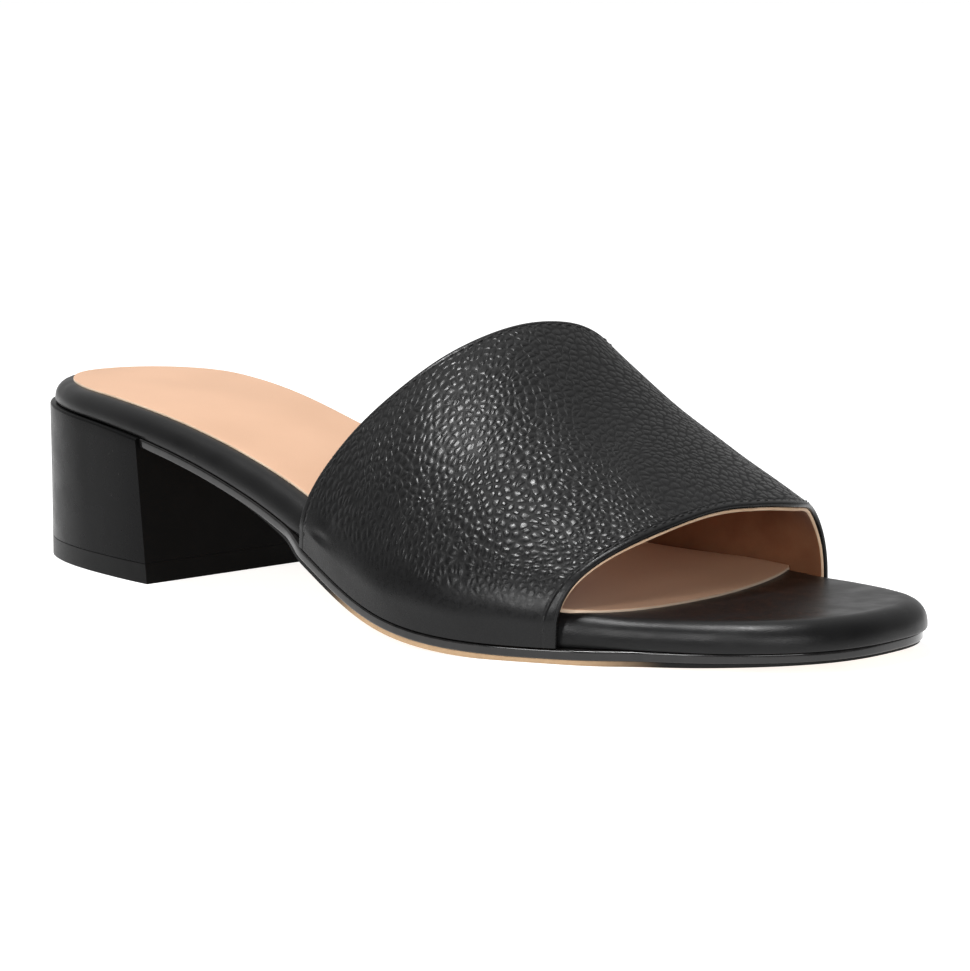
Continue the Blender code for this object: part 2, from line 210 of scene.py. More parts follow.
HALF = {side: spline(OUTLINE["share"], OUTLINE[side]) for side in ("lateral", "medial")}
SIDE = {"lateral": -1.0, "medial": 1.0}
underside = spline(PROFILE["share"], PROFILE["height"])
ridge_height = spline(RIDGE["share"], RIDGE["height"])
ridge_offset = spline(RIDGE["share"], RIDGE["offset"])
side_power = {side: spline(RIDGE["share"], RIDGE[side]) for side in ("lateral", "medial")}
band_edge = {end: spline(BAND["across"], BAND[end]) for end in ("rear", "front")}


def base_height(share):
    return HEEL_HEIGHT * underside(share)


def centre(share):
    return TOE_SWING * smooth_step((share - SWING_START) / (1.0 - SWING_START))


def end_round(distance, length, power):
    t = np.clip(1.0 - distance / length, 0.0, 1.0)
    return np.maximum(1.0 - t ** power, 0.0) ** (1.0 / power)


def edge(side, share, out):
    x = share * LENGTH
    half = HALF[side](share) * BALL_WIDTH + out
    heel = end_round(x + out, HEEL_ROUND + out, HEEL_POWER)
    toe = end_round(LENGTH - x + out, TOE_ROUND[side] + out, TOE_POWER[side])
    return centre(share) + SIDE[side] * half * heel * toe


def slope(share):
    low = np.maximum(np.clip(share, 0.0, 1.0) - SLOPE_STEP, 0.0)
    high = np.minimum(np.clip(share, 0.0, 1.0) + SLOPE_STEP, 1.0)
    return (base_height(high) - base_height(low)) / ((high - low) * LENGTH)


def lift(share, y, height):
    """Points at a height square to the underside of the footbed."""
    size = np.hypot(slope(share), 1.0)
    x = share * LENGTH - slope(share) / size * height
    z = base_height(np.clip(share, 0.0, 1.0)) + height / size
    x, y, z = np.broadcast_arrays(x, y, z)
    return np.stack([x, y, z], axis=-1)


def stations(first, last, count):
    turn = np.linspace(0.0, math.pi, count + 1)
    return first + (last - first) * (1.0 - np.cos(turn)) / 2.0


def bump_along(share, place):
    up = smooth_step((share - place["start"]) / place["rise"])
    return up * smooth_step((place["end"] - share) / place["fall"])


def footbed_top(share):
    thick = FOOTBED_HEEL + (FOOTBED_TOE - FOOTBED_HEEL) * smooth_step(share / FOOTBED_GROWN)
    return thick + BALL_CUP * bump_along(share, CUP_PLACE)


def cup_drop(share, across):
    return BALL_CUP * bump_along(share, CUP_PLACE) * np.maximum(1.0 - across * across, 0.0)


def mesh_piece(name, points, faces, materials, face_material=None, sharp=35.0, values=None):
    """A closed mesh piece in the row frame, its doubles joined, its normals outward."""
    mesh = bpy.data.meshes.new(name)
    mesh.from_pydata((np.asarray(points) + SHIFT).tolist(), [], faces)
    for material in materials:
        mesh.materials.append(material)
    if face_material is not None:
        mesh.polygons.foreach_set("material_index", np.array(face_material, np.int32))
    for key, data in (values or {}).items():
        attribute = mesh.attributes.new(key, "FLOAT", "POINT")
        attribute.data.foreach_set("value", np.asarray(data, np.float32))
    work = bmesh.new()
    work.from_mesh(mesh)
    bmesh.ops.remove_doubles(work, verts=work.verts, dist=2e-6)
    bmesh.ops.dissolve_degenerate(work, edges=work.edges, dist=1e-6)
    bmesh.ops.recalc_face_normals(work, faces=work.faces)
    if work.calc_volume(signed=True) < 0.0:
        bmesh.ops.reverse_faces(work, faces=work.faces)
    for face in work.faces:
        face.smooth = True
    for link in work.edges:
        if len(link.link_faces) == 2:
            link.smooth = link.calc_face_angle() < math.radians(sharp)
    work.to_mesh(mesh)
    work.free()
    obj = bpy.data.objects.new(name, mesh)
    bpy.context.scene.collection.objects.link(obj)
    return obj


def tube(grid):
    """Faces of a grid whose columns close into a ring, and the grid of its point numbers."""
    rows, columns = grid.shape[:2]
    index = np.arange(rows * columns).reshape(rows, columns)
    faces = []
    for i in range(rows - 1):
        for k in range(columns):
            m = (k + 1) % columns
            faces.append((int(index[i, k]), int(index[i, m]), int(index[i + 1, m]), int(index[i + 1, k])))
    return faces, index


# Upper surface
def band_point(share, across):
    share, across = np.broadcast_arrays(np.asarray(share, float), np.asarray(across, float))
    points = None
    for side in ("lateral", "medial"):
        foot = edge(side, share, GAP + WALL)
        low = base_height(share)
        far = np.abs(across)
        ridge = ridge_offset(share) * BALL_WIDTH
        crown = ridge_height(share) * INSTEP_HEIGHT
        power = side_power[side](share)
        turn = np.clip(1.0 - far / (1.0 - WALL_SHARE), 0.0, 1.0) * math.pi / 2.0
        reach = np.maximum(np.cos(turn), 0.0) ** (2.0 / power)
        rise = np.maximum(np.sin(turn), 0.0) ** (2.0 / power)
        start = low + WALL_RISE
        wall = far > 1.0 - WALL_SHARE
        y = np.where(wall, foot, ridge + (foot - ridge) * reach)
        z = np.where(wall, low + (1.0 - far) / WALL_SHARE * WALL_RISE, start + (crown - start) * rise)
        found = np.stack([share * LENGTH, y, z], axis=-1)
        here = (across < 0) if side == "lateral" else (across >= 0)
        points = found if points is None else np.where(here[..., None], found, points)
    return points


def band_normal(share, across):
    along = band_point(share + SHARE_STEP, across) - band_point(share - SHARE_STEP, across)
    high = np.minimum(across + NORMAL_STEP, 1.0)
    low = np.maximum(across - NORMAL_STEP, -1.0)
    over = band_point(share, high) - band_point(share, low)
    normal = np.cross(along, over)
    upright = np.clip((np.abs(across) - (1.0 - WALL_SHARE)) / WALL_SHARE, 0.0, 1.0)[..., None]
    normal = normal / np.linalg.norm(normal, axis=-1, keepdims=True)
    flat = normal * np.array([1.0, 1.0, 0.0])
    normal = normal * (1.0 - upright) + flat * upright
    return normal / np.linalg.norm(normal, axis=-1, keepdims=True)


def share_step(across, end):
    """Shares of the length per metre measured square to one edge of the band."""
    share = band_edge[end](across)
    along = band_point(share + SHARE_STEP, across) - band_point(share - SHARE_STEP, across)
    along = along / (2.0 * SHARE_STEP)
    high = np.minimum(across + LINE_STEP, 1.0)
    low = np.maximum(across - LINE_STEP, -1.0)
    line = band_point(band_edge[end](high), high) - band_point(band_edge[end](low), low)
    size = np.linalg.norm(along, axis=-1)
    level = line / np.linalg.norm(line, axis=-1)[..., None]
    square = np.linalg.norm(np.cross(along / size[..., None], level), axis=-1)
    return 1.0 / (size * np.maximum(square, 0.3))


# Soft hollows and creases of the worn-in leather: place on the band, depth, and reach each way
CREASES = (
    {"share": 0.520, "across": -0.86, "depth": 0.00030, "along": 0.012, "over": 0.020, "turn": 0.20},
    {"share": 0.528, "across": -0.80, "depth": 0.00026, "along": 0.010, "over": 0.018, "turn": 0.16},
    {"share": 0.534, "across": -0.74, "depth": 0.00020, "along": 0.011, "over": 0.018, "turn": 0.10},
    {"share": 0.770, "across": -0.62, "depth": 0.00018, "along": 0.012, "over": 0.030, "turn": -0.30},
)


def crease_depth(share, across):
    depth = np.zeros(np.broadcast(share, across).shape)
    for crease in CREASES:
        along = share - crease["share"]
        over = across - crease["across"] - crease["turn"] * along * 4.0
        far = (along / crease["along"]) ** 2 + (over / crease["over"]) ** 2
        depth = depth + crease["depth"] * np.exp(-far)
    waves = np.sin(share * 61.0 + across * 5.0) * np.sin(across * 13.0 + 1.0 + share * 17.0)
    return depth + 0.00010 * waves


def across_values(lateral, medial, wall):
    knee = 1.0 - WALL_SHARE
    left = -knee + knee * np.arange(lateral + 1) / lateral
    right = knee * np.arange(1, medial + 1) / medial
    low = -1.0 + WALL_SHARE * np.arange(wall) / wall
    return np.concatenate([low, left, right, -low[::-1]])


def stitch_inset(across, end):
    """Distance of a stitch line from its edge: wide at the foot of the band, narrow over the arch."""
    foot = smooth_step((np.abs(across) - 0.60) / 0.30)
    return STITCH_ARCH[end] + (STITCH_FOOT[end] - STITCH_ARCH[end]) * foot


def lining_inset(across):
    """Insets of the lining from both edges: at its front lateral foot the outer layer hides it."""
    foot = smooth_step((-across - 0.80) / 0.12)
    return {"rear": LINING_IN["rear"], "front": LINING_IN["front"] + LINING_FOOT_IN * foot}


def nearer_line(shares, values, rear, front, per_rear, per_front):
    """Signed distance to the nearer of the two stitch lines."""
    to_rear = (shares - rear[:, None]) / per_rear[:, None] - stitch_inset(values, "rear")[:, None]
    to_front = (front[:, None] - shares) / per_front[:, None] - stitch_inset(values, "front")[:, None]
    return np.where(np.abs(to_rear) < np.abs(to_front), to_rear, to_front)


def girth(values):
    """Distance over the band from its lateral foot, at the middle of its length."""
    middle = (band_edge["rear"](0.0) + band_edge["front"](0.0)) / 2.0
    line = band_point(np.full(len(values), middle), values)
    return np.concatenate([[0.0], np.cumsum(np.linalg.norm(np.diff(line, axis=0), axis=1))])


def band_sheet(values, outside, thick, inset, columns, under_columns, relief):
    """One layer of the band with rounded edges: rings of points, one for each place across."""
    round_steps = arc(90.0, 270.0, EDGE_ROUND_STEPS)
    radius = thick / 2.0
    insets = radius + radius * np.cos(round_steps)
    depths = radius - radius * np.sin(round_steps)
    rear = band_edge["rear"](values)
    front = band_edge["front"](values)
    per_rear = share_step(values, "rear")
    per_front = share_step(values, "front")
    first = rear + (inset["rear"] + radius) * per_rear
    last = front - (inset["front"] + radius) * per_front
    shares = []
    depth = []
    for part in np.linspace(0.0, 1.0, columns):
        shares.append(first + (last - first) * part)
        depth.append(0.0)
    for d, e in list(zip(insets, depths))[1:-1]:
        shares.append(front - (inset["front"] + d) * per_front)
        depth.append(e)
    for part in np.linspace(1.0, 0.0, under_columns):
        shares.append(first + (last - first) * part)
        depth.append(thick)
    for d, e in list(zip(insets, depths))[-2:0:-1]:
        shares.append(rear + (inset["rear"] + d) * per_rear)
        depth.append(e)
    shares = np.stack(shares, axis=1)
    depth = np.array(depth)[None, :] + outside
    across = np.broadcast_to(values[:, None], shares.shape)
    normal = band_normal(shares, across)
    points = band_point(shares, across)
    if relief:
        depth = depth + crease_depth(shares, across) * smooth_step((1.0 - np.abs(across)) / 0.12)
    points = points - normal * depth[..., None]
    marks = {
        "rim": np.minimum(
            (shares - rear[:, None]) / per_rear[:, None], (front[:, None] - shares) / per_front[:, None]),
        "stitch_line": nearer_line(shares, values, rear, front, per_rear, per_front),
        "rise": points[..., 2] - base_height(shares),
        "grain_u": shares * LENGTH,
        "grain_v": np.broadcast_to(girth(values)[:, None], shares.shape),
    }
    return points, marks


def close_rings(points):
    faces, index = tube(points)
    faces.append(tuple(int(k) for k in index[0][::-1]))
    faces.append(tuple(int(k) for k in index[-1]))
    return faces


# Materials
class Nodes:
    """A small writer of shader nodes for one material."""

    def __init__(self, name):
        self.material = bpy.data.materials.new(name)
        self.material.use_nodes = True
        self.tree = self.material.node_tree
        self.shader = self.tree.nodes["Principled BSDF"]

    def add(self, kind, **settings):
        node = self.tree.nodes.new(kind)
        for key, value in settings.items():
            setattr(node, key, value)
        return node

    def link(self, source, target):
        self.tree.links.new(source, target)

    def put(self, target, value):
        if hasattr(value, "is_linked"):
            self.link(value, target)
        else:
            target.default_value = value

    def place(self):
        return self.add("ShaderNodeTexCoord").outputs["Object"]

    def scaled(self, source, factors, turn=(0.0, 0.0, 0.0)):
        node = self.add("ShaderNodeMapping")
        self.link(source, node.inputs["Vector"])
        node.inputs["Scale"].default_value = factors
        node.inputs["Rotation"].default_value = turn
        return node.outputs["Vector"]

    def attribute(self, name):
        return self.add("ShaderNodeAttribute", attribute_name=name).outputs["Fac"]

    def sheet_place(self, along, over):
        """Place on the flat of the leather, from the distances kept on the mesh."""
        node = self.add("ShaderNodeCombineXYZ")
        self.link(self.attribute(along), node.inputs[0])
        self.link(self.attribute(over), node.inputs[1])
        return node.outputs[0]

    def noise(self, source, scale, detail=2.0, rough=0.5):
        node = self.add("ShaderNodeTexNoise")
        self.link(source, node.inputs["Vector"])
        node.inputs["Scale"].default_value = scale
        node.inputs["Detail"].default_value = detail
        node.inputs["Roughness"].default_value = rough
        return node

    def cells(self, source, scale, feature="F1", random=1.0, flat=False):
        node = self.add("ShaderNodeTexVoronoi", feature=feature)
        node.voronoi_dimensions = "2D" if flat else "3D"
        self.link(source, node.inputs["Vector"])
        node.inputs["Scale"].default_value = scale
        node.inputs["Randomness"].default_value = random
        return node.outputs["Distance"]

    def span(self, source, low, high, out_low=0.0, out_high=1.0, smooth=True):
        node = self.add("ShaderNodeMapRange")
        node.interpolation_type = "SMOOTHSTEP" if smooth else "LINEAR"
        self.link(source, node.inputs["Value"])
        node.inputs["From Min"].default_value = low
        node.inputs["From Max"].default_value = high
        node.inputs["To Min"].default_value = out_low
        node.inputs["To Max"].default_value = out_high
        return node.outputs["Result"]

    def math(self, kind, a, b):
        node = self.add("ShaderNodeMath", operation=kind)
        self.put(node.inputs[0], a)
        self.put(node.inputs[1], b)
        return node.outputs[0]

    def blend(self, amount, a, b):
        node = self.add("ShaderNodeMix", data_type="RGBA")
        self.put(node.inputs["Factor"], amount)
        self.put(node.inputs[6], a)
        self.put(node.inputs[7], b)
        return node.outputs[2]

    def bump(self, height, distance, strength=1.0, before=None):
        node = self.add("ShaderNodeBump")
        self.link(height, node.inputs["Height"])
        node.inputs["Distance"].default_value = distance
        self.put(node.inputs["Strength"], strength)
        if before is not None:
            self.link(before, node.inputs["Normal"])
        return node.outputs["Normal"]

    def wander(self, source, scale, amount):
        """The place moved a little by noise, so that cells aren't straight-sided."""
        noise = self.noise(source, scale, 1.0)
        node = self.add("ShaderNodeVectorMath", operation="MULTIPLY_ADD")
        self.link(noise.outputs["Color"], node.inputs[0])
        node.inputs[1].default_value = (amount, amount, amount)
        self.link(source, node.inputs[2])
        return node.outputs[0]

    def finish(self, colour, roughness, normal=None, specular=0.5, coat=0.0, coat_roughness=0.3, sheen=0.0):
        self.put(self.shader.inputs["Base Color"], colour)
        self.put(self.shader.inputs["Roughness"], roughness)
        self.shader.inputs["Specular IOR Level"].default_value = specular
        self.shader.inputs["Coat Weight"].default_value = coat
        self.shader.inputs["Coat Roughness"].default_value = coat_roughness
        self.shader.inputs["Sheen Weight"].default_value = sheen
        if normal is not None:
            self.link(normal, self.shader.inputs["Normal"])
        return self.material


def pebbled_leather():
    m = Nodes("pebbled_leather")
    place = m.place()
    flat = m.sheet_place("grain_u", "grain_v")
    turned = m.scaled(flat, (1.12, 0.90, 1.0), (0.0, 0.0, 0.6))
    moved = m.wander(m.wander(turned, 40.0, 0.0070), 900.0, 0.0004)
    edges = m.cells(moved, 570.0, "DISTANCE_TO_EDGE", 0.92, True)
    heart = m.cells(moved, 570.0, "F1", 0.92, True)
    dome = m.math("ADD", m.span(edges, 0.0, 0.30, 0.0, 0.42), m.span(heart, 0.05, 0.66, 0.58, 0.0))
    fine = m.noise(place, 2600.0, 3.0).outputs["Fac"]
    patch = m.span(m.noise(place, 34.0, 2.0).outputs["Fac"], 0.30, 0.60, 0.65, 1.0)
    rim = m.span(m.attribute("rim"), 0.0008, 0.0026, 0.05, 1.0)
    rise = m.span(m.attribute("rise"), 0.0085, 0.0165, 0.02, 1.0)
    strength = m.math("MULTIPLY", m.math("MULTIPLY", rim, rise), patch)
    grained = m.bump(dome, 0.00017, strength)
    line = m.span(m.math("ABSOLUTE", m.attribute("stitch_line"), 0.0), 0.0, 0.0006)
    sunk = m.bump(line, 0.00016, 1.0, grained)
    normal = m.bump(fine, 0.00003, 0.5, sunk)
    # Valleys between the pebbles: the colour is darker there as painted shade in the creases, and the same
    # mask makes the valleys rougher.
    valley_shade_mask = m.math("MULTIPLY", m.span(dome, 0.12, 0.50, 1.0, 0.0), strength)
    colour = m.blend(valley_shade_mask, (0.0070, 0.0070, 0.0072, 1.0), (0.0024, 0.0024, 0.0025, 1.0))
    worn = m.span(m.noise(place, 900.0, 2.0).outputs["Fac"], 0.3, 0.7, 0.25, 0.33)
    rough = m.math("ADD", worn, m.math("MULTIPLY", valley_shade_mask, 0.32))
    return m.finish(colour, rough, normal, specular=0.22)


def smooth_leather(name, tone, low, high, grain=0.00002, waves=0.00006, specular=0.3):
    m = Nodes(name)
    place = m.place()
    pores = m.cells(m.wander(place, 900.0, 0.0003), 1900.0, "DISTANCE_TO_EDGE", 1.0)
    fine = m.span(pores, 0.0, 0.3)
    soft = m.noise(place, 55.0, 3.0).outputs["Fac"]
    normal = m.bump(fine, grain, 0.5)
    normal = m.bump(soft, waves, 1.0, normal)
    dust = m.span(m.cells(place, 260.0, "F1", 1.0), 0.030, 0.045, 1.0, 0.0)
    colour = m.blend(m.math("MULTIPLY", dust, 0.10), tone, (0.35, 0.34, 0.32, 1.0))
    rough = m.span(m.noise(place, 140.0, 3.0).outputs["Fac"], 0.3, 0.7, low, high)
    return m.finish(colour, rough, normal, specular=specular)


def nude_leather():
    m = Nodes("nude_leather")
    place = m.place()
    pores = m.span(m.cells(m.wander(place, 700.0, 0.0004), 1500.0, "DISTANCE_TO_EDGE", 1.0), 0.0, 0.3)
    cloud = m.span(m.noise(place, 26.0, 4.0).outputs["Fac"], 0.3, 0.7)
    colour = m.blend(cloud, (0.590, 0.360, 0.230, 1.0), (0.640, 0.400, 0.265, 1.0))
    normal = m.bump(pores, 0.00002, 0.6)
    normal = m.bump(m.noise(place, 60.0, 3.0).outputs["Fac"], 0.00012, 1.0, normal)
    return m.finish(colour, m.span(cloud, 0.0, 1.0, 0.50, 0.62), normal, specular=0.4)


def lining_leather(name, dark, light):
    m = Nodes(name)
    place = m.place()
    cloud = m.span(m.noise(place, 90.0, 4.0).outputs["Fac"], 0.3, 0.7)
    fibre = m.noise(place, 1500.0, 4.0, 0.7).outputs["Fac"]
    colour = m.blend(cloud, dark, light)
    normal = m.bump(fibre, 0.00006, 0.6)
    return m.finish(colour, m.span(fibre, 0.2, 0.8, 0.62, 0.80), normal, specular=0.3, sheen=0.1)


def sole_side_leather():
    """Side of the leather layer: bare under the ball, painted black towards the heel and toe."""
    m = Nodes("sole_side_leather")
    fibre = m.noise(m.place(), 700.0, 4.0, 0.7).outputs["Fac"]
    bare = m.blend(fibre, (0.40, 0.26, 0.15, 1.0), (0.58, 0.40, 0.24, 1.0))
    colour = m.blend(m.attribute("bare"), (0.008, 0.008, 0.008, 1.0), bare)
    return m.finish(colour, 0.6, m.bump(fibre, 0.00005, 0.6), specular=0.15)


def edge_paint():
    m = Nodes("edge_paint")
    place = m.place()
    wave = m.noise(m.scaled(place, (1.0, 1.0, 0.25)), 420.0, 3.0).outputs["Fac"]
    normal = m.bump(wave, 0.00010, 0.6)
    colour = m.blend(m.span(wave, 0.3, 0.7), (0.006, 0.006, 0.006, 1.0), (0.012, 0.011, 0.011, 1.0))
    rough = m.span(wave, 0.2, 0.8, 0.14, 0.24)
    return m.finish(colour, rough, normal, specular=0.20, coat=0.50, coat_roughness=0.07)


def rubber():
    m = Nodes("rubber")
    place = m.place()
    fine = m.noise(place, 1800.0, 4.0, 0.7).outputs["Fac"]
    soft = m.span(m.noise(place, 120.0, 2.0).outputs["Fac"], 0.3, 0.7)
    colour = m.blend(soft, (0.0045, 0.0045, 0.0045, 1.0), (0.0070, 0.0070, 0.0070, 1.0))
    return m.finish(colour, m.span(fine, 0.2, 0.8, 0.30, 0.42), m.bump(fine, 0.00002, 0.5), specular=0.055)


def thread():
    m = Nodes("thread")
    place = m.place()
    twist = m.noise(place, 2600.0, 1.0).outputs["Fac"]
    colour = m.blend(twist, (0.006, 0.006, 0.006, 1.0), (0.016, 0.016, 0.016, 1.0))
    return m.finish(colour, m.span(twist, 0.2, 0.8, 0.45, 0.62), m.bump(twist, 0.00006, 0.8), specular=0.3)


PEBBLED = pebbled_leather()
WRAP = smooth_leather("footbed_leather", (0.0060, 0.0060, 0.0062, 1.0), 0.30, 0.40, specular=0.22)
COVER = smooth_leather("heel_leather", (0.0042, 0.0042, 0.0044, 1.0), 0.22, 0.32, 0.00001, 0.00006, 0.040)
# The heel breast is the same leather as the heel cover, given a darker, rougher copy as painted shade, since
# the breast faces the floor under the arch.
SHADED_BREAST = smooth_leather("breast_leather_painted_shade", (0.0022, 0.0022, 0.0022, 1.0), 0.45, 0.60, 0.00001, 0.00006, 0.04)
NUDE = nude_leather()
NUDE_EDGE = lining_leather("nude_cut_edge", (0.62, 0.46, 0.33, 1.0), (0.78, 0.62, 0.47, 1.0))
TAN = lining_leather("lining_leather", (0.24, 0.090, 0.038, 1.0), (0.31, 0.128, 0.058, 1.0))
TAN_EDGE = lining_leather("lining_cut_edge", (0.60, 0.40, 0.25, 1.0), (0.74, 0.53, 0.36, 1.0))
PAINT = edge_paint()
SOLE_SIDE = sole_side_leather()
SOLE = lining_leather("sole_leather", (0.40, 0.26, 0.15, 1.0), (0.58, 0.40, 0.24, 1.0))
RUBBER = rubber()
THREAD = thread()


# Upper: pebbled outer layer over a lining
outer_values = across_values(130, 104, 10)
outer_grid, outer_marks = band_sheet(outer_values, 0.0, SKIN, {"rear": 0.0, "front": 0.0}, 150, 40, True)
upper = mesh_piece(
    "upper_leather", outer_grid.reshape(-1, 3), close_rings(outer_grid), [PEBBLED], sharp=60.0,
    values={key: mark.ravel() for key, mark in outer_marks.items()})
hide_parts("upper")

lining_values = across_values(70, 56, 6)
lining_in = lining_inset(lining_values)
lining_grid = band_sheet(
    lining_values, SKIN + LAYER_GAP, LINING, lining_in, LINING_COLUMNS, LINING_COLUMNS, False)[0]
inner_round = EDGE_ROUND_STEPS - 2
cut = np.zeros((len(lining_values) - 1, lining_grid.shape[1]), int)
cut[:, LINING_COLUMNS - 1:LINING_COLUMNS - 1 + inner_round] = 1
cut[:, 2 * LINING_COLUMNS - 2 + inner_round:] = 1
lining = mesh_piece(
    "upper_lining", lining_grid.reshape(-1, 3), close_rings(lining_grid), [TAN, TAN_EDGE],
    list(cut.ravel()) + [0, 0], sharp=60.0)


def along_line(at, gone, line):
    return np.array([np.interp(at, gone, line[:, k]) for k in range(3)])


def stitch_row(end):
    """Stitches in one line beside an edge of the band, each a small round-ended bead sunk in the leather."""
    dense = np.linspace(-STITCH_REACH, STITCH_REACH, 1600)
    inward = 1.0 if end == "rear" else -1.0
    share = band_edge[end](dense) + inward * stitch_inset(dense, end) * share_step(dense, end)
    line = band_point(share, dense)
    normal = band_normal(share, dense)
    gone = np.concatenate([[0.0], np.cumsum(np.linalg.norm(np.diff(line, axis=0), axis=1))])
    points = []
    faces = []
    for start in np.arange(STITCH_PITCH / 2.0, gone[-1] - STITCH_PITCH, STITCH_PITCH):
        base = len(points)
        for i in range(STITCH_RINGS):
            part = i / (STITCH_RINGS - 1)
            at = start + STITCH_LONG * part
            middle = along_line(at, gone, line)
            ahead = along_line(at + STITCH_LONG / 10.0, gone, line) - middle
            ahead = ahead / np.linalg.norm(ahead)
            up = along_line(at, gone, normal)
            up = up / np.linalg.norm(up)
            across = np.cross(ahead, up)
            bow = math.sin(math.pi * part)
            size = STITCH_WIDE / 2.0 * (0.25 + 0.75 * bow ** 0.5)
            middle = middle + up * STITCH_SUNK * (0.92 * bow - 1.0)
            for angle in arc(0.0, 360.0, STITCH_SIDES + 1)[:-1]:
                points.append(middle + across * math.cos(angle) * size + up * math.sin(angle) * size * 0.8)
        for i in range(STITCH_RINGS - 1):
            for k in range(STITCH_SIDES):
                m = (k + 1) % STITCH_SIDES
                low = base + i * STITCH_SIDES
                faces.append((low + k, low + m, low + STITCH_SIDES + m, low + STITCH_SIDES + k))
        faces.append(tuple(base + k for k in range(STITCH_SIDES))[::-1])
        faces.append(tuple(base + (STITCH_RINGS - 1) * STITCH_SIDES + k for k in range(STITCH_SIDES)))
    return points, faces


front_stitches = mesh_piece("front_stitching", *stitch_row("front"), [THREAD], sharp=80.0)
rear_stitches = mesh_piece("rear_stitching", *stitch_row("rear"), [THREAD], sharp=80.0)


# Footbed: padded platform wrapped in smooth leather
def wrapped(levels, shares_of, side_point, columns, bottom_columns, top_place, bottom_place):
    """A slab as one ring grid: bottom, lateral side, top and medial side at each station."""
    rings = []
    count = len(shares_of(0))
    side_lines = {side: [side_point(side, k) for k in range(levels)] for side in ("lateral", "medial")}
    for i in range(count):
        lateral = [side_lines["lateral"][k][i] for k in range(levels)]
        medial = [side_lines["medial"][k][i] for k in range(levels)]
        ring = list(lateral)
        for k in range(1, columns):
            ring.append(top_place(lateral[-1], medial[-1], i, k / columns))
        ring += medial[::-1]
        for k in range(1, bottom_columns):
            ring.append(bottom_place(medial[0], lateral[0], i, k / bottom_columns))
        rings.append(ring)
    return np.array(rings)


def level_straight(a, b, i, part):
    return a + (b - a) * part


bed_steps = []
for angle in arc(-90.0, 0.0, 4)[:-1]:
    low = FOOTBED_FOOT * (1.0 + math.sin(angle)) - BED_SINK
    bed_steps.append((-FOOTBED_FOOT * (1.0 - math.cos(angle)) * 0.6, low, 0.0))
bed_steps.append((0.0, FOOTBED_FOOT, 0.0))
for angle in arc(0.0, 90.0, 9):
    rolled = 1.0 - FOOTBED_ROLL * (1.0 - math.sin(angle))
    bed_steps.append((-FOOTBED_EDGE * (1.0 - math.cos(angle)), WRAP_RAISE * math.sin(angle), rolled))


def bed_shares(k):
    low = -bed_steps[k][0] / LENGTH
    return stations(low, 1.0 - low, FOOT_STEPS)


def bed_side(side, k):
    out, height, top = bed_steps[k]
    share = bed_shares(k)
    return lift(share, edge(side, share, out), height + top * footbed_top(share))


def bed_top(a, b, i, part):
    share = bed_shares(len(bed_steps) - 1)[i]
    point = a + (b - a) * part
    point[2] -= cup_drop(share, 2.0 * part - 1.0)
    return point


bed_grid = wrapped(len(bed_steps), bed_shares, bed_side, BED_COLUMNS, 2, bed_top, level_straight)
bed = mesh_piece("footbed_wrap", bed_grid.reshape(-1, 3), tube(bed_grid)[0], [WRAP], sharp=50.0)
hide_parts("footbed")


# Sock lining
def sock_line(side, share):
    grow = smooth_step(share / FOOTBED_GROWN)
    ball = smooth_step((share - SOCK_BALL_START) / SOCK_BALL_GROWN)
    margin = SOCK_HEEL_MARGIN + (SOCK_MARGIN[side] - SOCK_HEEL_MARGIN) * grow
    margin = margin + (SOCK_BALL_MARGIN[side] - SOCK_MARGIN[side]) * ball
    base = HALF[side](share) * BALL_WIDTH - margin
    heel = end_round(share * LENGTH - SOCK_HEEL_MARGIN, HEEL_ROUND - SOCK_HEEL_MARGIN, HEEL_POWER)
    toe = end_round(SOCK_TIP - share * LENGTH, SOCK_ROUND[side], SOCK_POWER[side])
    return centre(share) + SIDE[side] * base * heel * toe


sock_shares = stations(SOCK_HEEL_MARGIN / LENGTH, SOCK_TIP / LENGTH, FOOT_STEPS)
sock_levels = []
for angle in arc(-90.0, 0.0, 3):
    sock_levels.append((SOCK_SOFT * (1.0 - math.cos(angle)), SOCK_SOFT * (1.0 + math.sin(angle))))
for angle in arc(0.0, 90.0, 4):
    drop = SOCK_SOFT * (1.0 - math.sin(angle))
    sock_levels.append((SOCK_SOFT * (1.0 - math.cos(angle)), SOCK_THICK - drop))


def sock_cup(share, y):
    sides = [edge(side, share, -FOOTBED_EDGE) for side in ("lateral", "medial")]
    half = np.abs(np.where(y < centre(share), sides[0], sides[1]) - centre(share))
    return cup_drop(share, (y - centre(share)) / half)


def sock_side(side, k):
    inset, height = sock_levels[k]
    y = sock_line(side, sock_shares)
    size = np.abs(y - centre(sock_shares))
    y = centre(sock_shares) + SIDE[side] * np.maximum(size - inset, 0.0)
    low = SOCK_SINK * (1.0 if k == 0 else 0.0)
    return lift(sock_shares, y, footbed_top(sock_shares) + GAP + height - low - sock_cup(sock_shares, y))


def sock_between(height):
    def place(a, b, i, part):
        share = sock_shares[i]
        y = a[1] + (b[1] - a[1]) * part
        return lift(share, y, footbed_top(share) + GAP + height - sock_cup(share, y))
    return place


sock_grid = wrapped(
    len(sock_levels), lambda k: sock_shares, sock_side, SOCK_COLUMNS["top"], SOCK_COLUMNS["bottom"],
    sock_between(SOCK_THICK), sock_between(-SOCK_SINK))
cut_levels = 4
medial_foot = 2 * len(sock_levels) + SOCK_COLUMNS["top"] - 2
sock_cut = np.zeros((len(sock_shares) - 1, sock_grid.shape[1]), int)
sock_cut[:, :cut_levels] = 1
sock_cut[:, medial_foot - cut_levels:medial_foot] = 1
sock = mesh_piece(
    "sock", sock_grid.reshape(-1, 3), tube(sock_grid)[0], [NUDE, NUDE_EDGE],
    list(sock_cut.ravel()), sharp=50.0)
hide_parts("sock_lining")


# Outsole: painted edge layer over a leather layer
def welt(share):
    band = (WELT_BAND - WELT_OUT) * bump_along(share, WELT_PLACE)
    toe = (WELT_TOE - WELT_OUT) * smooth_step((share - 0.84) / 0.12)
    return WELT_OUT + band + toe


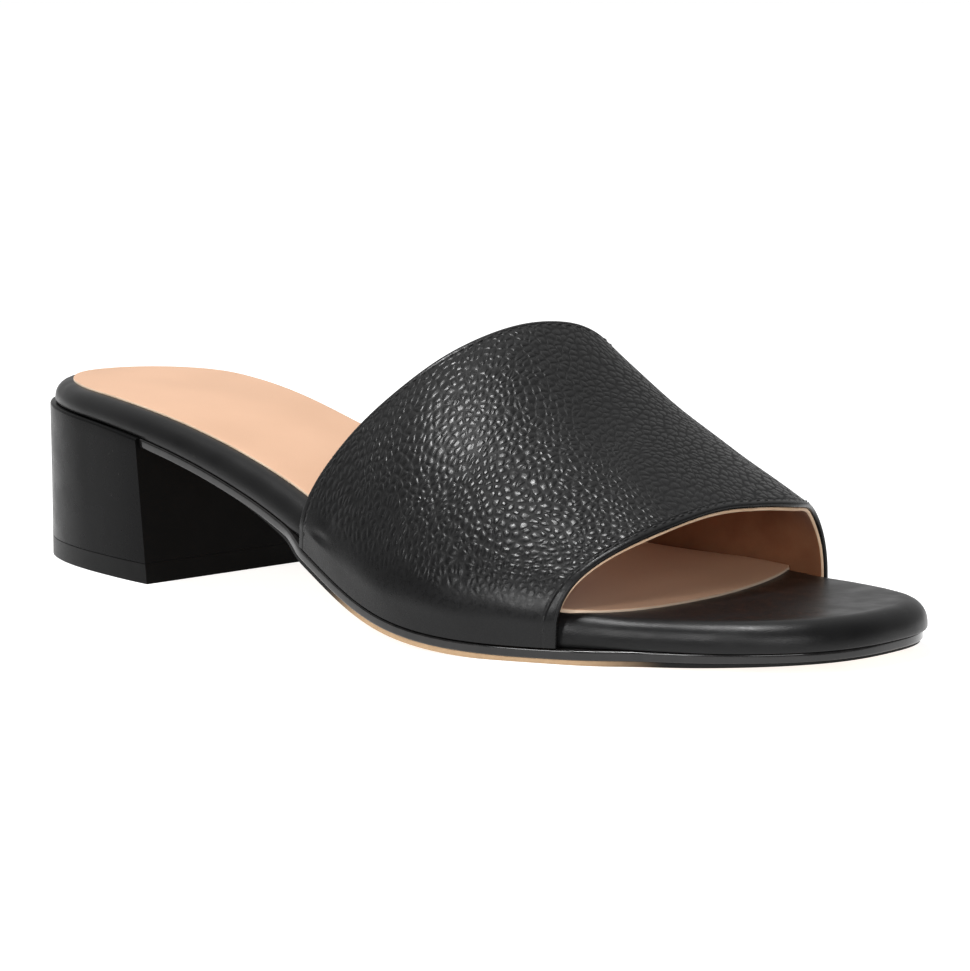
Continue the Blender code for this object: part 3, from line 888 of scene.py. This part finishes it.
def leather(share):
    ball = (LEATHER_BALL - LEATHER_SHANK) * smooth_step((share - 0.36) / 0.12)
    toe = (LEATHER_TOE - LEATHER_BALL) * smooth_step((share - 0.82) / 0.18)
    return LEATHER_SHANK + ball + toe


def breast(side, part):
    skew = BREAST_SKEW if side == "medial" else 0.0
    return BREAST_TOP + (BREAST_BOTTOM - BREAST_TOP) * part + skew


UNDER = GAP + EDGE_LAYER
sole_steps = [
    (-LEATHER_SET_IN, lambda s: -(UNDER + leather(s))),
    (-LEATHER_SET_IN, lambda s: -(UNDER + 0.1 * leather(s))),
]
for angle in arc(-90.0, 0.0, 5):
    sole_steps.append((
        -EDGE_BEVEL * (1.0 - math.cos(angle)),
        lambda s, a=angle: -(UNDER - EDGE_BEVEL * (1.0 + math.sin(a))) + 0.0 * s))
for angle in arc(0.0, 90.0, 5):
    sole_steps.append((
        -EDGE_BEVEL * (1.0 - math.cos(angle)),
        lambda s, a=angle: -(GAP + EDGE_BEVEL * (1.0 - math.sin(a))) + 0.0 * s))
SOLE_START = (UNDER + LEATHER_SHANK) / HEEL_HEIGHT


def sole_side(side, k):
    out, level = sole_steps[k]
    first = breast(side, SOLE_START) + GAP
    share = stations(first / LENGTH, 1.0 + (WELT_TOE + out) / LENGTH, FOOT_STEPS)
    line = lift(share, edge(side, share, welt(share) + out), level(share))
    line[0, 0] = first
    line[:, 0] = np.maximum(line[:, 0], first)
    line[:, 2] = np.maximum(line[:, 2], 0.0)
    return line


sole_grid = wrapped(
    len(sole_steps), lambda k: stations(0.0, 1.0, FOOT_STEPS), sole_side,
    SOLE_COLUMNS["top"], SOLE_COLUMNS["bottom"], level_straight, level_straight)
sole_faces, sole_index = tube(sole_grid)
sole_faces.append(tuple(int(k) for k in sole_index[0][::-1]))
sole_ring = sole_grid.shape[1]
medial_foot = 2 * len(sole_steps) + SOLE_COLUMNS["top"] - 2
sole_kind = np.zeros((FOOT_STEPS, sole_ring), int)
sole_kind[:, medial_foot:] = 1
sole_kind[:, [0, medial_foot - 1]] = 2
sole_at = stations(breast("lateral", SOLE_START) / LENGTH, 1.0, FOOT_STEPS)
outsole = mesh_piece(
    "outsole_dressed", sole_grid.reshape(-1, 3), sole_faces, [PAINT, SOLE, SOLE_SIDE],
    list(sole_kind.ravel()) + [0], sharp=40.0,
    values={"bare": np.repeat(bump_along(sole_at, BARE), sole_ring)})
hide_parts("outsole")


# Heel block with its leather cover, and the top lift under it
def heel_outline(set_in):
    """Outlines of the heel at its seat and at the floor, from its lateral to its medial breast corner."""
    turn = stations(0.0, 1.0, HEEL_STEPS)
    out = RIM_OUT - set_in
    first = -out / LENGTH
    rows = {}
    for side in ("lateral", "medial"):
        share = first + (breast(side, 0.0) / LENGTH - first) * turn
        x = HEEL_BACK + set_in + (breast(side, 1.0) - HEEL_BACK - set_in) * turn
        inside = np.clip(x / LENGTH, 0.0, 1.0)
        seat = base_height(np.clip(share, 0.0, 1.0)) - GAP
        top = np.stack([share * LENGTH, edge(side, share, out), seat], axis=-1)
        half = HALF[side](inside) * BALL_WIDTH - HEEL_TAPER - set_in
        half = half * end_round(x - HEEL_BACK - set_in, FOOT_ROUND, FOOT_POWER)
        floor = np.stack([x, HEEL_SHIFT + SIDE[side] * half, np.zeros(HEEL_STEPS + 1)], axis=-1)
        rows[side] = (top, floor)
    top = np.concatenate([rows["lateral"][0][::-1], rows["medial"][0][1:]])
    floor = np.concatenate([rows["lateral"][1][::-1], rows["medial"][1][1:]])
    return top, floor


def heel_ring(set_in, height_of):
    """The D outline of the heel at the height that height_of gives for each height of the seat."""
    top, floor = heel_outline(set_in)
    outline = floor + (top - floor) * height_of(top[:, 2:3]) / top[:, 2:3]
    across = np.linspace(0.0, 1.0, BREAST_STEPS + 1)[1:-1, None]
    return np.concatenate([outline, outline[-1] + (outline[0] - outline[-1]) * across])


def stack_piece(name, rings, materials, sharp):
    """Rings of the heel as one closed piece: the first material round it, the second on its breast."""
    grid = np.array(rings)
    faces, index = tube(grid)
    faces.append(tuple(int(k) for k in index[0][::-1]))
    faces.append(tuple(int(k) for k in index[-1]))
    kinds = np.zeros((len(rings) - 1, len(rings[0])), int)
    kinds[:, 2 * HEEL_STEPS:] = 1
    return mesh_piece(name, grid.reshape(-1, 3), faces, materials, list(kinds.ravel()) + [0, 0], sharp)


cover_low = LIFT_THICK + LIFT_SEAM
cover_rings = []
for share_up in np.linspace(0.0, 1.0, 12)[:-1]:
    cover_rings.append(heel_ring(0.0, lambda seat, s=share_up: cover_low + (seat - RIM_SOFT - cover_low) * s))
for angle in arc(0.0, 90.0, 5):
    drop = RIM_SOFT * (1.0 - math.sin(angle))
    cover_rings.append(heel_ring(RIM_SOFT * (1.0 - math.cos(angle)), lambda seat, d=drop: seat - d))
cover = stack_piece("heel_cover", cover_rings, [COVER, SHADED_BREAST], 40.0)
soft = cover.modifiers.new("corners", "BEVEL")
soft.width = 0.0006
soft.segments = 2
soft.limit_method = "ANGLE"
soft.angle_limit = math.radians(50.0)
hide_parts("heel_block")

LIFT_LEVELS = {
    "set_in": (LIFT_SOFT, 0.0, 0.0, 0.0, LIFT_SOFT),
    "height": (0.0, LIFT_SOFT, LIFT_THICK / 2.0, LIFT_THICK - LIFT_SOFT, LIFT_THICK),
}
lift_rings = []
for set_in, height in zip(LIFT_LEVELS["set_in"], LIFT_LEVELS["height"]):
    lift_rings.append(heel_ring(set_in, lambda seat, h=height: h))
lift_piece = stack_piece("top_lift_rubber", lift_rings, [RUBBER, SHADED_BREAST], 30.0)
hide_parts("top_lift")

for piece in (upper, lining, front_stitches, rear_stitches, bed, sock, outsole, cover, lift_piece):
    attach(piece, "root")


# Floor, light and camera
FLOOR_REACH = 60.0
LIGHTS = (
    {"name": "overhead", "place": (-0.060, -0.220, 1.25), "target": (0.04, -0.03, 0.04),
     "size": (0.24, 0.22), "power": 14.0},
    {"name": "front_strip", "place": (0.150, -1.00, 0.58), "target": (0.05, -0.03, 0.03),
     "size": (0.16, 0.50), "power": 4.0},
    {"name": "front_soft", "place": (0.80, -0.80, 0.42), "target": (0.07, -0.02, 0.02),
     "size": (0.60, 0.34), "power": 4.0},
)
SKY_BEHIND = (-0.675, 0.737, 0.0)
CAMERA = {
    "place": (0.52288, -0.55502, 0.143416),
    "right": (0.73756, 0.67528, 0.00161),
    "up": (-0.10288, 0.11002, 0.98859),
    "lens": 122.35,
    "sensor": 36.0,
}


def stage_floor():
    m = Nodes("studio_floor")
    fine = m.noise(m.place(), 3.0, 2.0).outputs["Fac"]
    m.finish(m.blend(fine, (0.50, 0.50, 0.50, 1.0), (0.52, 0.52, 0.52, 1.0)), 0.9, specular=0.1)
    m.shader.inputs["Emission Color"].default_value = (1.0, 1.0, 1.0, 1.0)
    m.shader.inputs["Emission Strength"].default_value = 0.80
    mesh = bpy.data.meshes.new("studio_floor")
    corners = [(-FLOOR_REACH, -FLOOR_REACH, 0), (FLOOR_REACH, -FLOOR_REACH, 0)]
    corners += [(FLOOR_REACH, FLOOR_REACH, 0), (-FLOOR_REACH, FLOOR_REACH, 0)]
    mesh.from_pydata(corners, [], [(0, 1, 2, 3)])
    mesh.materials.append(m.material)
    floor = bpy.data.objects.new("studio_floor", mesh)
    bpy.context.scene.collection.objects.link(floor)
    floor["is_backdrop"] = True


def area_light(name, place, target, size, power):
    data = bpy.data.lights.new(name, "AREA")
    data.shape = "RECTANGLE"
    data.size, data.size_y = size
    data.energy = power
    obj = bpy.data.objects.new(name, data)
    obj.location = place
    obj.rotation_mode = "QUATERNION"
    obj.rotation_quaternion = (Vector(target) - Vector(place)).to_track_quat("-Z", "Y")
    bpy.context.scene.collection.objects.link(obj)


stage_floor()
for light in LIGHTS:
    area_light(**light)

world = bpy.data.worlds.new("studio")
world.use_nodes = True
tree = world.node_tree


def sky_ramp(source, low, high, out_low, out_high):
    node = tree.nodes.new("ShaderNodeMapRange")
    node.interpolation_type = "SMOOTHSTEP"
    node.inputs["From Min"].default_value = low
    node.inputs["From Max"].default_value = high
    node.inputs["To Min"].default_value = out_low
    node.inputs["To Max"].default_value = out_high
    tree.links.new(source, node.inputs["Value"])
    return node.outputs["Result"]


where = tree.nodes.new("ShaderNodeTexCoord").outputs["Generated"]
apart = tree.nodes.new("ShaderNodeVectorMath")
apart.operation = "DOT_PRODUCT"
apart.inputs[1].default_value = SKY_BEHIND
tree.links.new(where, apart.inputs[0])
split = tree.nodes.new("ShaderNodeSeparateXYZ")
tree.links.new(where, split.inputs[0])
total = tree.nodes.new("ShaderNodeMath")
total.operation = "ADD"
tree.links.new(sky_ramp(apart.outputs["Value"], -0.15, 0.45, 0.12, 0.60), total.inputs[0])
tree.links.new(sky_ramp(split.outputs["Z"], 0.55, 0.95, 0.0, 0.15), total.inputs[1])
tree.links.new(total.outputs[0], tree.nodes["Background"].inputs["Strength"])
tree.nodes["Background"].inputs["Color"].default_value = (1.0, 1.0, 1.0, 1.0)
bpy.context.scene.world = world

camera_data = bpy.data.cameras.new("photo_camera")
camera_data.sensor_width = CAMERA["sensor"]
camera_data.lens = CAMERA["lens"]
camera_data.clip_start = 0.01
camera_data.clip_end = 100.0
camera = bpy.data.objects.new("photo_camera", camera_data)
right = Vector(CAMERA["right"])
up = Vector(CAMERA["up"])
turn = Matrix((right, up, right.cross(up))).transposed().to_4x4()
camera.matrix_world = Matrix.Translation(CAMERA["place"]) @ turn
bpy.context.scene.collection.objects.link(camera)
bpy.context.scene.camera = camera
bpy.context.scene.view_settings.view_transform = "Standard"

low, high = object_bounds()
